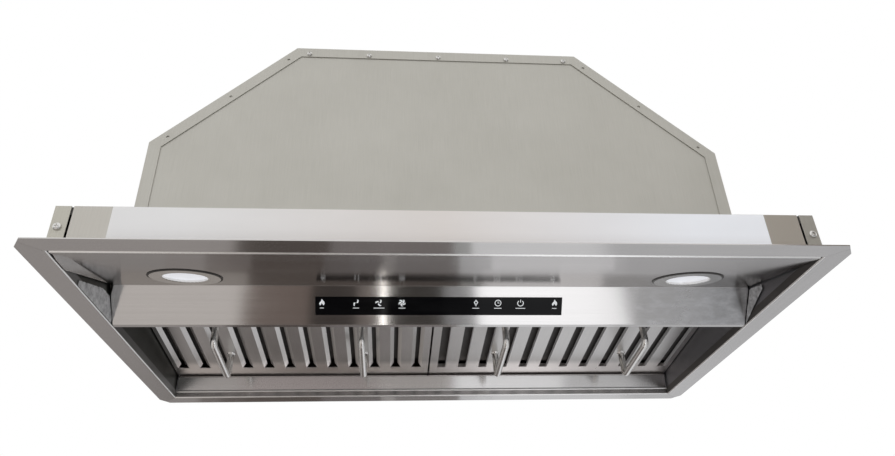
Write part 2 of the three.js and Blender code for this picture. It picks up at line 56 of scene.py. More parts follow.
# ---- sizes repeated from the CAD source, in millimetres ------------------------------------------
HALF_W, HALF_D = 450, 284
IN_X, IN_Y = 422.5, 256.5
SNIP_X, SNIP_Y, SEAM, HEM, FOLD_R = 12, 18, 0.15, 0.9, 2.1
SHEET, THIN, LIP = 1.2, 1.0, 12
OUT_Y = 258.7
SKIRT_FRONT = 54.5
PANEL_HALF = 420.5
LAMP_BREAK, LAMP_BREAK_Z = -250.2, 1.2
CREASE_Y, CREASE_Z = -92, 41.2
FASCIA_Y, FASCIA_Z, FASCIA_RETURN = -57.5, 0.6, -50.5
LAMP_X, LAMP_Y = 314, -140
LAMP_HOLE_R = 37
GLASS_W, GLASS_H, GLASS_DOWN = 326.5, 24.3, 27.3
FILTER_TILT, FILTER_REAR_Y, FILTER_REAR_Z = 6, 253.5, 36.65
HANDLE_R, HANDLE_DROP, HANDLE_FRONT, HANDLE_REAR = 5, 40, 196, 82
HANDLE_OUTER, HANDLE_INNER, HANDLE_BEND = 320.5, 107.5, 10
WELD = ((0.0, 6.6), (0.5, 6.3), (1.1, 5.7), (1.7, 5.05))  # bead: depth under the filter, radius
RAIL_TOP = 36.35
FILM_HALF, FILM_FOOT = 365, 1.8
LAMP_TILT = math.atan2(CREASE_Z - LAMP_BREAK_Z, CREASE_Y - LAMP_BREAK)
FASCIA_TILT = math.atan2(FASCIA_Y - CREASE_Y, CREASE_Z - FASCIA_Z)

# ---- sizes of the scene's own detail, in millimetres ---------------------------------------------
# The lamp panel's bright bend is a painted highlight.
LIP_END = 2.6  # how far behind the front upstand the lamp panel's bright bend reaches
# The bezel's inner lip gets a painted highlight and its outer side painted shade.
BEZEL_INNER, BEZEL_OUTER = 27.4, 41.7  # radii where the inner lip ends and the outer side starts
SCRAP_X = 421.5  # plane of the film scraps in the front pockets
PRINT_AHEAD, PRINT_DEPTH = 0.3, 0.05  # the print stands ahead of the glass's middle plane
GLYPH_Y, GLYPH_SCALE, FLAME_SCALE, FAN_R = 4.4, 1.4, 1.45, 4.9
UNDERLINE_DROP, UNDERLINE_HEIGHT = 7.2, 0.9
SHARP_ANGLE = 35  # degrees; a fold that turns by more keeps a sharp edge

# ---- places on the stage, in metres --------------------------------------------------------------
CAMERA_AT = (-0.063982, -0.92222, -0.35703)
PITCH, YAW, ROLL = 30.29, 5.205, 2.012  # degrees
LENS = 28.10
FOOT_X, FOOT_Y = -0.064, -0.922  # point under the camera, from which the fan cards spread
MIRROR_Y = 1.4365  # the same for the fan of cards behind the camera
FLOOR_Z, CARD_Z, SLIT_Z, FLOOR_HALF = -1.25, -1.2, -1.19, 150


# ---- camera: fitted to the photograph ------------------------------------------------------------
def make_camera():
    """Looks up from under the front edge, as in the photograph."""
    pitch, yaw, roll = math.radians(PITCH), math.radians(YAW), math.radians(ROLL)
    level = math.cos(pitch)
    ahead = Vector((math.sin(yaw) * level, math.cos(yaw) * level, math.sin(pitch)))
    right = Vector((math.cos(yaw), -math.sin(yaw), 0))
    down = ahead.cross(right)
    x = right * math.cos(roll) + down * math.sin(roll)
    y = down * math.cos(roll) - right * math.sin(roll)
    data = bpy.data.cameras.new("camera")
    data.sensor_fit, data.sensor_width, data.lens = "HORIZONTAL", 36, LENS
    cam = bpy.data.objects.new("camera", data)
    bpy.context.scene.collection.objects.link(cam)
    m = Matrix((x, -y, -ahead)).transposed().to_4x4()
    m.translation = Vector(CAMERA_AT)
    cam.matrix_world = m
    bpy.context.scene.camera = cam


make_camera()


# ---- materials -----------------------------------------------------------------------------------
class Look:
    """A material with its node tree, and short ways to add nodes to it."""

    def __init__(self, name, **sockets):
        self.mat = bpy.data.materials.new(name)
        self.mat.use_nodes = True
        self.tree = self.mat.node_tree
        self.bsdf = self.tree.nodes["Principled BSDF"]
        for key, value in sockets.items():
            socket = key.replace("_", " ").title().replace("Ior", "IOR")
            self.bsdf.inputs[socket].default_value = value

    def node(self, kind, links=(), **settings):
        n = self.tree.nodes.new("ShaderNode" + kind)
        for key, value in settings.items():
            if hasattr(n, key):
                setattr(n, key, value)
            else:
                n.inputs[key.replace("_", " ").title()].default_value = value
        for name, source in dict(links).items():
            self.tree.links.new(source, n.inputs[name])
        return n

    def place(self, scale):
        """Object coordinates, which are the row frame's metres, scaled along each axis."""
        where = self.node("TexCoord")
        m = self.node("Mapping", {"Vector": where.outputs["Object"]}, Scale=scale)
        return m.outputs["Vector"]

    def spot(self):
        """The same coordinates one by one, as outputs X, Y and Z."""
        where = self.node("TexCoord")
        return self.node("SeparateXYZ", {"Vector": where.outputs["Object"]}).outputs

    def noise(self, scale, detail=2, rough=0.5):
        n = self.node("TexNoise", {"Vector": self.place(scale)}, Scale=1.0, Detail=detail,
                      Roughness=rough)
        return n.outputs["Fac"]

    def step(self, value, start, end):
        """0 up to start, 1 from end on, and a straight slope between them."""
        return self.node("MapRange", {"Value": value}, from_min=start, from_max=end).outputs[0]

    def ramp(self, fac, *stops):
        n = self.node("ValToRGB", {"Fac": fac})
        e = n.color_ramp.elements
        while len(e) < len(stops):
            e.new(0.5)
        for item, (at, c) in zip(e, stops):
            item.position = at
            item.color = (c, c, c, 1) if isinstance(c, (int, float)) else (*c, 1)
        return n.outputs["Color"]

    def math(self, op, a, b):
        n = self.node("Math", operation=op)
        for socket, v in zip(n.inputs, (a, b)):
            if isinstance(v, (int, float)):
                socket.default_value = v
            else:
                self.tree.links.new(v, socket)
        return n.outputs["Value"]

    def mix(self, fac, a, b, blend="MIX"):
        n = self.node("Mix", data_type="RGBA", blend_type=blend)
        for socket, v in zip((n.inputs[0], n.inputs[6], n.inputs[7]), (fac, a, b)):
            if isinstance(v, tuple):
                socket.default_value = (*v, 1)
            elif isinstance(v, (int, float)):
                socket.default_value = v
            else:
                self.tree.links.new(v, socket)
        return n.outputs[2]

    def to(self, socket, value):
        self.tree.links.new(value, self.bsdf.inputs[socket])

    def bump(self, height, strength, distance, also=None):
        links = {"Height": height}
        if also:
            links["Normal"] = also
        n = self.node("Bump", links, Strength=strength, Distance=distance)
        self.to("Normal", n.outputs["Normal"])

    def across(self, v):
        """The direction in which a brushed surface spreads its highlights, across the grain."""
        n = self.node("CombineXYZ", X=v[0], Y=v[1], Z=v[2])
        self.to("Tangent", n.outputs["Vector"])


# Noise scale along each axis, and the direction across the grain.
GRAIN = {"x": ((5, 900, 900), (0, 1, -0.3)), "y": ((900, 5, 900), (1, 0, -0.3))}
# A bowed sheet's slope, how much it loses towards the fold, and the y between which it does.
BOW_TILT, BOW_BEND, BOW_FROM, BOW_TO = 0.103, 0.00272, -0.172, -0.092
# The x between which a shaded end gets its shade, and the length over which a sheet turns paler.
END_FROM, END_TO, PALE_RUN = 0.26, 0.37, 0.016


def brushed(name, light, dark, rough, grain="x", anisotropic=1.0, metallic=1.0, bowed=False,
            blotched=None, pale_from=None, end_shade=None):
    """Stainless sheet: fine lines along the grain, and a slow cloudiness in colour and gloss.

    bowed bends the mirror image a little, as a thin sheet does between its folds.
    blotched=(from, to) dulls the right end between these x.
    pale_from is the y behind which the sheet is lighter.
    end_shade is how dark the right end is.
    """
    look = Look(name, metallic=metallic, anisotropic=anisotropic)
    stretch, across = GRAIN[grain]
    lines = look.noise(stretch, detail=3, rough=0.65)
    coarse = look.noise(tuple(s / 5 for s in stretch), detail=2)
    clouds = look.noise((9, 9, 9), detail=4, rough=0.6)
    fine = look.math("ADD", look.math("MULTIPLY", lines, 0.6), look.math("MULTIPLY", coarse, 0.4))
    tint = look.ramp(fine, (0.3, dark), (0.7, light))
    tint = look.mix(1.0, tint, look.ramp(clouds, (0.3, 0.94), (0.7, 1.0)), "MULTIPLY")
    grey = look.math("ADD", look.math("MULTIPLY", fine, 0.06), look.math("MULTIPLY", clouds, 0.10))
    grey = look.math("ADD", grey, rough - 0.08)
    spot = look.spot()
    if blotched:
        blotch = look.noise((40, 75, 75), detail=4, rough=0.62)
        drift = look.math("MULTIPLY", look.math("SUBTRACT", blotch, 0.5), 0.15)
        dull = look.step(look.math("ADD", spot["X"], drift), *blotched)
        pale = look.ramp(blotch, (0.36, (0.50, 0.50, 0.505)), (0.66, (0.80, 0.80, 0.81)))
        tint = look.mix(look.math("MULTIPLY", dull, 0.8), tint, pale)
        grey = look.math("ADD", grey, look.math("MULTIPLY", dull, 0.24))
    if end_shade:
        shaded = look.mix(1.0, tint, (end_shade,) * 3, "MULTIPLY")
        tint = look.mix(look.step(spot["X"], END_FROM, END_TO), tint, shaded)
    if pale_from:
        behind = look.step(spot["Y"], pale_from, pale_from + PALE_RUN)
        tint = look.mix(behind, tint, (0.95, 0.91, 0.89))
    look.to("Base Color", tint)
    look.to("Roughness", grey)
    tilt = None
    if bowed:
        near = look.step(spot["Y"], BOW_FROM, BOW_TO)
        bend = look.math("MULTIPLY", look.math("MULTIPLY", near, near), BOW_BEND)
        slope = look.math("SUBTRACT", look.math("MULTIPLY", spot["Y"], BOW_TILT), bend)
        tilt = look.node("Bump", {"Height": slope}, Strength=1.0, Distance=1.0).outputs["Normal"]
    look.bump(fine, 0.04, 0.00003, tilt)
    look.across(across)
    return look.mat


def satin_sheet(name, low, high, painted_inner_shade=None, painted_right_shade=None):
    """Plain satin sheet: greenish grey, very fine rolled grain, faint handling marks.

    inside is the painted shade of the skirts' inner faces, painted_right_shade the painted shade of
    a plate's right end.
    """
    look = Look(name, metallic=0.85, anisotropic=0.3)
    grain = look.noise((1400, 1400, 25), detail=2)
    clouds = look.noise((6, 6, 8), detail=5, rough=0.62)
    marks = look.noise((40, 40, 14), detail=6, rough=0.7)
    tint = look.ramp(clouds, (0.25, low), (0.75, high))
    tint = look.mix(0.10, tint, look.ramp(grain, (0.3, 0.3), (0.7, 0.6)))
    spot = look.spot()
    # Painted shade on the skirts' inner faces.
    if painted_inner_shade:
        narrow = look.math("LESS_THAN", look.math("ABSOLUTE", spot["X"], 0), (IN_X + 1.6) * MM)
        behind = look.math("GREATER_THAN", spot["Y"], -(IN_Y + 1.2) * MM)
        tint = look.mix(look.math("MULTIPLY", narrow, behind), tint, painted_inner_shade)
    # Painted shade on the plate's right end.
    if painted_right_shade:
        tint = look.mix(look.step(spot["X"], 0.3, 0.37), tint, painted_right_shade)
    look.to("Base Color", tint)
    base = look.math("MULTIPLY", marks, 0.16)
    look.to("Roughness", look.math("ADD", base, 0.36))
    look.bump(grain, 0.06, 0.00005)
    look.across((1, 0.4, 0))
    return look.mat


def galvanised_sheet():
    """Zinc spangle: angular flakes that differ in tone and gloss."""
    look = Look("galvanised_sheet", metallic=0.9)
    cells = look.node("TexVoronoi", {"Vector": look.place((150, 150, 150))}, Scale=1.0)
    flake = look.node("SeparateColor", {"Color": cells.outputs["Color"]}).outputs[0]
    fine = look.noise((700, 700, 700), detail=2)
    tint = look.ramp(flake, (0.0, (0.44, 0.455, 0.47)), (1.0, (0.58, 0.595, 0.605)))
    look.to("Base Color", tint)
    look.to("Roughness", look.math("ADD", look.math("MULTIPLY", flake, 0.18), 0.36))
    look.bump(fine, 0.08, 0.0001)
    return look.mat


def polished(name="polished_steel", base=(0.70, 0.69, 0.67), rough=0.10):
    """Polished bar: faint lengthways scratches over a clear reflection."""
    look = Look(name, metallic=1.0)
    scratch = look.noise((2200, 160, 2200), detail=2)
    haze = look.noise((60, 60, 60), detail=3)
    look.to("Base Color", look.ramp(haze, (0.3, tuple(0.92 * c for c in base)), (0.7, base)))
    look.to("Roughness", look.math("ADD", look.math("MULTIPLY", haze, 0.12), rough))
    look.bump(scratch, 0.05, 0.00004)
    return look.mat


def plastic(name, color, rough, metallic=0.0):
    """Moulded plastic or paint with a fine grain and slightly uneven gloss."""
    look = Look(name, metallic=metallic)
    fine, slow = look.noise((900, 900, 900), detail=2), look.noise((30, 30, 30), detail=3)
    look.to("Base Color", look.ramp(slow, (0.3, tuple(0.85 * c for c in color)), (0.7, color)))
    look.to("Roughness", look.math("ADD", look.math("MULTIPLY", slow, 0.15), rough - 0.07))
    look.bump(fine, 0.15, 0.0001)
    return look.mat


def lens():
    """Frosted diffuser over the lamp's leds: milky, with a faint prism grain."""
    look = Look("lamp_lens", ior=1.49, emission_strength=0.42, emission_color=(0.93, 0.95, 1.0, 1))
    prism = look.node("TexVoronoi", {"Vector": look.place((900, 900, 900))}, Scale=1.0)
    slow = look.noise((70, 70, 70), detail=2)
    look.to("Base Color", look.ramp(slow, (0.3, (0.80, 0.80, 0.85)), (0.7, (0.88, 0.88, 0.92))))
    look.to("Roughness", look.math("ADD", look.math("MULTIPLY", slow, 0.1), 0.22))
    look.bump(prism.outputs["Distance"], 0.2, 0.0002)
    return look.mat


def black_glass():
    """Black glass of the touch strip: deep gloss with faint wiped smears."""
    look = Look("control_glass", ior=1.5, specular_ior_level=0.1)
    smear = look.noise((12, 90, 90), detail=4, rough=0.6)
    tint = look.ramp(smear, (0.3, (0.004, 0.004, 0.005)), (0.8, (0.010, 0.010, 0.011)))
    look.to("Base Color", tint)
    look.to("Roughness", look.math("ADD", look.math("MULTIPLY", smear, 0.08), 0.03))
    return look.mat


def scrap_look():
    """Old film over steel: milky grey and creased."""
    look = Look("film_scrap", ior=1.45, metallic=0.25)
    crease = look.noise((90, 90, 90), detail=6, rough=0.75)
    look.to("Base Color", look.ramp(crease, (0.36, (0.36, 0.36, 0.37)), (0.6, (0.74, 0.74, 0.75))))
    look.to("Roughness", look.math("ADD", look.math("MULTIPLY", crease, 0.3), 0.2))
    look.bump(crease, 0.5, 0.002)
    return look.mat


def film():
    """Thin glossy white protective film with soft ripples and a painted reflection in its tint."""
    look = Look("protective_film", ior=1.48, specular_ior_level=0.5)
    slow = look.noise((5, 5, 18), detail=3)
    spot = look.spot()
    # Painted reflection: darker and pinker towards the bottom of the film, and a tint along it from
    # pale through brown to bluish white at the right end.
    height = look.math("DIVIDE", spot["Z"], SKIRT_FRONT * MM)
    tint = look.ramp(height, (0.08, (0.79, 0.76, 0.77)), (0.5, (0.975, 0.955, 0.98)))
    along = look.step(spot["X"], -FILM_HALF * MM, FILM_HALF * MM)
    painted_cast = look.ramp(along, (0.09, (0.88, 0.87, 0.818)), (0.49, (0.82, 0.746, 0.655)),
                     (0.88, (0.98, 1.0, 1.0)))
    tint = look.mix(1.0, tint, painted_cast, "MULTIPLY")
    ripple = look.ramp(slow, (0.3, (0.80, 0.80, 0.82)), (0.7, (0.96, 0.96, 0.98)))
    look.to("Base Color", look.mix(0.3, tint, ripple))
    look.to("Roughness", look.math("ADD", look.math("MULTIPLY", slow, 0.12), 0.16))
    look.bump(look.noise((14, 14, 60), detail=3), 0.12, 0.001)
    return look.mat


def printed():
    """Pale print behind the glass, with a painted glow."""
    # The emission is a painted glow on the print.
    look = Look("glyph_print", roughness=0.5, emission_strength=0.4,
                emission_color=(0.9, 0.93, 0.95, 1))
    dots = look.noise((2500, 2500, 2500), detail=1)
    look.to("Base Color", look.ramp(dots, (0.3, (0.62, 0.64, 0.66)), (0.7, (0.74, 0.76, 0.78))))
    return look.mat


STEEL_LIGHT, STEEL_DARK = (0.64, 0.625, 0.61), (0.59, 0.575, 0.56)
looks = {
    "brushed_x": brushed("brushed_steel", STEEL_LIGHT, STEEL_DARK, 0.14),
    # The lamp panel's steel: a darker tint and a darker right end, both painted shade.
    "brushed_lamp": brushed("brushed_steel_lamp", (0.56, 0.54, 0.525), (0.51, 0.49, 0.475), 0.14,
                            bowed=True, end_shade=0.72),
    "brushed_fascia": brushed("brushed_steel_fascia", STEEL_LIGHT, STEEL_DARK, 0.14,
                              blotched=(0.27, 0.38)),
    "brushed_y": brushed("brushed_steel_side", STEEL_LIGHT, STEEL_DARK, 0.20, grain="y"),
    "brushed_filter": brushed("brushed_steel_filter", STEEL_LIGHT, STEEL_DARK, 0.30, grain="y",
                              anisotropic=0.6, pale_from=0.198),
    # Painted highlight: a pale copy of the steel for folds and lips that catch the light.
    "painted_highlight_steel": brushed("painted_highlight_steel", (0.95, 0.94, 0.92), (0.90, 0.89, 0.87), 0.38,
                           anisotropic=0.3),
    "shaded_sheet": brushed("shaded_sheet", (0.16, 0.155, 0.15), (0.13, 0.125, 0.12), 0.40,
                            grain="y"),
    # Painted shade: the right skirt is tinted darker than the left, and the inner faces of both are
    # darker still.
    "satin_skirt_left": satin_sheet("satin_skirt_left", (0.495, 0.475, 0.41), (0.535, 0.515, 0.45),
                                    painted_inner_shade=(0.055, 0.055, 0.048)),
    "satin_skirt_right": satin_sheet("satin_skirt_right", (0.345, 0.325, 0.285),
                                     (0.385, 0.365, 0.32), painted_inner_shade=(0.25, 0.247, 0.262)),
    # Painted shade: a darker copy of the steel for the rear upstand's lower face.
    "painted_shade_band": brushed("painted_shade_band", (0.52, 0.50, 0.485), (0.47, 0.455, 0.44), 0.25),
    # Painted shade: a dark copy of the steel.
    "painted_shade_steel": brushed("painted_shade_steel", (0.11, 0.105, 0.10), (0.08, 0.075, 0.07), 0.40, grain="y"),
    # Painted light: a pale, hardly metallic copy of the steel for the lit side faces of slot lips.
    "painted_lit_lip": brushed("painted_lit_lip", (0.80, 0.78, 0.78), (0.73, 0.71, 0.71), 0.45, grain="y",
                         metallic=0.1),
    # The front plate's darker right end is painted shade.
    "satin_plate": satin_sheet("satin_plate", (0.51, 0.485, 0.44), (0.55, 0.525, 0.475),
                               painted_right_shade=(0.40, 0.365, 0.32)),
    "satin_band": satin_sheet("satin_band", (0.465, 0.449, 0.402), (0.51, 0.494, 0.447)),
    "galvanised_sheet": galvanised_sheet(),
    "polished_steel": polished(),
    "handle_steel": polished("handle_steel", (0.80, 0.785, 0.76), 0.14),
    "lamp_lens": lens(),
    "lamp_body": plastic("lamp_body", (0.05, 0.05, 0.055), 0.5),
    "black_metal": plastic("black_metal", (0.035, 0.035, 0.04), 0.45, metallic=0.3),
    "black_plastic": plastic("black_plastic", (0.03, 0.03, 0.033), 0.5),
    "control_glass": black_glass(),
    "control_board": plastic("control_board", (0.02, 0.12, 0.06), 0.4),
    "protective_film": film(),
    "film_scrap": scrap_look(),
    "capacitor_case": plastic("capacitor_case", (0.70, 0.70, 0.67), 0.35),
    "glyph": printed(),
}

SLOT_OF = {s["node"]: s["material_slot"] for s in frame["record"]["subparts"]}
for name, obj in nodes.items():
    slot = SLOT_OF[name]
    if slot == "brushed_sheet":
        of_filter = name.startswith("filter_") and "rail" not in name
        slot = "brushed_filter" if of_filter else "brushed_x"
    # The comb above the filters is all painted shade, a dark copy of the steel.
    if name.startswith("filter_baffles"):
        slot = "painted_shade_steel"
    elif name == "skirt_front":
        slot = "satin_plate"
    elif name in ("skirt_left", "skirt_right"):
        slot = "satin_" + name
    elif name.startswith("housing"):
        slot = "satin_band"
    obj.data.materials.clear()
    obj.data.materials.append(looks[slot])


# ---- mesh helpers --------------------------------------------------------------------------------
def mesh_object(name, bm):
    """An object of bm, whose numbers are millimetres in the row frame."""
    bmesh.ops.scale(bm, vec=(MM,) * 3, verts=bm.verts)
    bmesh.ops.recalc_face_normals(bm, faces=bm.faces)
    me = bpy.data.meshes.new(name)
    bm.to_mesh(me)
    bm.free()
    obj = bpy.data.objects.new(name, me)
    bpy.context.scene.collection.objects.link(obj)
    return obj


def add_piece(name, bm, look, body="hood", stands_for=(), sharp=SHARP_ANGLE,
              smooth=True):
    """A visible piece of the part that rides on a body and may stand for CAD nodes."""
    obj = mesh_object(name, bm)
    obj.data.materials.append(looks[look])
    if smooth:
        obj.data.shade_smooth()
        obj.data.set_sharp_from_angle(angle=math.radians(sharp))
    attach(obj, body)
    if stands_for:
        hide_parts(*stands_for)
    return obj


def dress(obj, look, chosen):
    """Gives another look to the faces that chosen(face) picks."""
    obj.data.materials.append(looks[look])
    last = len(obj.data.materials) - 1
    for face in obj.data.polygons:
        if chosen(face):
            face.material_index = last


def dress_nodes():
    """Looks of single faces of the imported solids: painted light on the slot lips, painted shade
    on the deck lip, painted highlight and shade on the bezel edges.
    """
    tray = nodes["filter_frame_right"]
    past_side = min(v.co.x for v in tray.data.vertices) + 4 * MM
    # Painted light on the side faces of the right filter's slot lips.
    dress(tray, "painted_lit_lip", lambda p: p.normal.x < -0.9 and p.center.x > past_side)
    # Painted shade on the deck's front lip, seen through the gap.
    dress(nodes["top_deck"], "painted_shade_steel", lambda p: p.normal.y < -0.9 and p.center.y < -0.24)
    for side, x in (("left", -LAMP_X), ("right", LAMP_X)):
        def away(p, x=x):
            down = (p.center.y / MM - LAMP_Y) / math.cos(LAMP_TILT)
            return math.hypot(p.center.x / MM - x, down)
        bezel = nodes["lamp_bezel_" + side]
        # Painted highlight on the bezel's inner lip, painted shade on its outer side.
        dress(bezel, "painted_highlight_steel", lambda p, far=away: far(p) < BEZEL_INNER)
        dress(bezel, "painted_shade_steel", lambda p, far=away: far(p) > BEZEL_OUTER)


dress_nodes()


def weigh_normals(obj):
    """Big flat faces keep their own normal beside small bends."""
    m = obj.modifiers.new("normals", "WEIGHTED_NORMAL")
    m.keep_sharp, m.weight = True, 80


def rounded(points, steps):
    """A line of (a, b, radius) corners as points, with an arc of steps parts at each of them."""
    out = []
    for i, (a, b, r) in enumerate(points):
        p = Vector((a, b))
        if r <= 0 or i in (0, len(points) - 1):
            out.append(p)
            continue
        before = (Vector(points[i - 1][:2]) - p).normalized()
        after = (Vector(points[i + 1][:2]) - p).normalized()
        half = before.angle(after) / 2
        reach = r / math.tan(half)
        centre = p + (before + after).normalized() * (r / math.sin(half))
        start, end = p + before * reach - centre, p + after * reach - centre
        turn = start.angle_signed(end)
        for k in range(steps + 1):
            c = Matrix.Rotation(-turn * k / steps, 2)
            out.append(centre + c @ start)
    return out


def offset(line, thickness):
    """The same line moved to its left by the thickness, point by point."""
    out = []
    for i, p in enumerate(line):
        d0 = (p - line[i - 1]).normalized() if i else (line[1] - p).normalized()
        d1 = (line[i + 1] - p).normalized() if i < len(line) - 1 else d0
        n = Vector((-d0.y - d1.y, d0.x + d1.x)).normalized()
        t = thickness[i] if isinstance(thickness, list) else thickness
        out.append(p + n * (t / max(0.3, n.dot(Vector((-d0.y, d0.x))))))
    return out


def folded(bm, line, off, ends, place):
    """A sheet between two lines of (a, z), from one end to the other of ends(a, z).

    place(along, a, z) sets it in space.
    """
    ring = []
    for p in [*line, *reversed(off)]:
        lo, hi = ends(p.x, p.y)
        ring.append((bm.verts.new(place(lo, p.x, p.y)), bm.verts.new(place(hi, p.x, p.y))))
    n, count = len(line), 2 * len(line)
    for i in range(count):
        a, b = ring[i], ring[(i + 1) % count]
        bm.faces.new((a[0], b[0], b[1], a[1]))
    for i in range(n - 1):
        j, k = count - 1 - i, count - 2 - i
        for side in (0, 1):
            bm.faces.new((ring[i][side], ring[i + 1][side], ring[k][side], ring[j][side]))


def carve(obj, cutters):
    """Cuts the cutter meshes out of obj and deletes them."""
    for c in cutters:
        m = obj.modifiers.new("cut", "BOOLEAN")
        m.operation, m.solver, m.object = "DIFFERENCE", "EXACT", c
    dg = bpy.context.evaluated_depsgraph_get()
    me = bpy.data.meshes.new_from_object(obj.evaluated_get(dg))
    obj.modifiers.clear()
    obj.data = me
    for c in cutters:
        bpy.data.objects.remove(c)
    me.shade_smooth()
    me.set_sharp_from_angle(angle=math.radians(SHARP_ANGLE))


def cutter(bm, matrix):
    """A mesh object to cut with, set in place by matrix."""
    bmesh.ops.transform(bm, matrix=matrix, verts=bm.verts)
    return mesh_object("cutter", bm)


def tube(bm, path, radius, sides=24):
    """A round bar along path; radius is one number, or a list with one for each point."""
    rings = []
    side = None
    for i, p in enumerate(path):
        a = path[max(i - 1, 0)]
        b = path[min(i + 1, len(path) - 1)]
        ahead = (b - a).normalized()
        side = ahead.orthogonal() if side is None else side - ahead * side.dot(ahead)
        side.normalize()
        up = ahead.cross(side)
        r = radius[i] if isinstance(radius, list) else radius
        rings.append([bm.verts.new(p + r * (math.cos(t) * side + math.sin(t) * up))
                      for t in (2 * math.pi * k / sides for k in range(sides))])
    for r0, r1 in zip(rings, rings[1:]):
        for k in range(sides):
            j = (k + 1) % sides
            bm.faces.new((r0[k], r0[j], r1[j], r1[k]))
    bm.faces.new(rings[0])
    bm.faces.new(rings[-1])


# ---- flange strips with a rolled inner fold ------------------------------------------------------
# The mitre seam runs from the inner corner to this knee on the corner snip.
KNEE = (HALF_D + SNIP_Y / SNIP_X * (HALF_W - SNIP_X) + IN_X - IN_Y) / (1 + SNIP_Y / SNIP_X)


def between(v, stops):
    """Straight interpolation in a list of (value, result)."""
    for (a0, b0), (a1, b1) in zip(stops, stops[1:]):
        if v <= a1:
            return b0 + (b1 - b0) * (v - a0) / (a1 - a0)
    return stops[-1][1]


def flange(name, across_half, along_half, knee_across, knee_along, tip_along, sign, swap):
    """One strip: flat, then rolled up into the upstand; the rear strip's upstand has a hem.

    across is the direction away from the middle, which is x if swap is set and y if not.
    """
    inner_across = IN_X if swap else IN_Y
    stops = [(inner_across, along_half - SEAM), (knee_across, knee_along - SEAM),
             (across_half, tip_along)]
    hemmed = name == "rear"
    corners = [(-across_half, 0, 0), (-knee_across, 0, 0), (-inner_across, 0, FOLD_R)]
    if hemmed:
        corners += [(-inner_across, LIP - 3 * HEM, 0.5), (HEM - inner_across, LIP - 2 * HEM, 0.5),
                    (HEM - inner_across, LIP - HEM / 2, 0.4)]
    line = rounded([*corners, (-inner_across, LIP, 0)], 6)
    upper = offset(line, [SHEET if p.y < 0.01 else THIN for p in line])

    def ends(a, z):
        reach = between(max(-a, inner_across), stops)
        return -reach, reach

    def place(along, a, z):
        return (-a * sign, along, z) if swap else (along, -a * sign, z)

    bm = bmesh.new()
    folded(bm, line, upper, ends, place)
    obj = add_piece("rim_" + name, bm, "brushed_y" if swap else "brushed_x",
                    stands_for=("flange_" + name,))
    hem_foot = (LIP - 3 * HEM) * MM
    # Painted highlight on the rolled fold between strip and upstand, and on the rear hem.
    dress(obj, "painted_highlight_steel", lambda p: -0.97 < p.normal.z < -0.25 or (
        hemmed and p.center.z > hem_foot and abs(p.center.y) < IN_Y * MM))
    if hemmed:
        # Painted shade on the rear upstand's face below the hem.
        dress(obj, "painted_shade_band", lambda p: p.normal.y < -0.97 and p.center.z < hem_foot)
    if swap:
        upstand = (IN_X + 0.5) * MM
        dress(obj, "shaded_sheet", lambda p: p.normal.z > -0.25 and abs(p.center.x) < upstand)
    weigh_normals(obj)


for name, sign in (("front", -1), ("rear", 1)):
    flange(name, HALF_D, IN_X, KNEE - IN_X + IN_Y, KNEE, HALF_W - SNIP_X, sign, False)
for name, sign in (("left", -1), ("right", 1)):
    flange(name, HALF_W, IN_Y, KNEE, KNEE - IN_X + IN_Y, HALF_D - SNIP_Y, sign, True)


# ---- lamp panel and control fascia ---------------------------------------------------------------
glass_centre = Vector((0, CREASE_Y + GLASS_DOWN * math.sin(FASCIA_TILT),
                       CREASE_Z - GLASS_DOWN * math.cos(FASCIA_TILT)))
glass_frame = Matrix.Translation(glass_centre) @ Matrix.Rotation(FASCIA_TILT, 4, "X")
lamp_z = LAMP_BREAK_Z + (LAMP_Y - LAMP_BREAK) * math.tan(LAMP_TILT)


def full_width(a, z):
    """Ends of a sheet that runs across the whole recess."""
    return -PANEL_HALF, PANEL_HALF


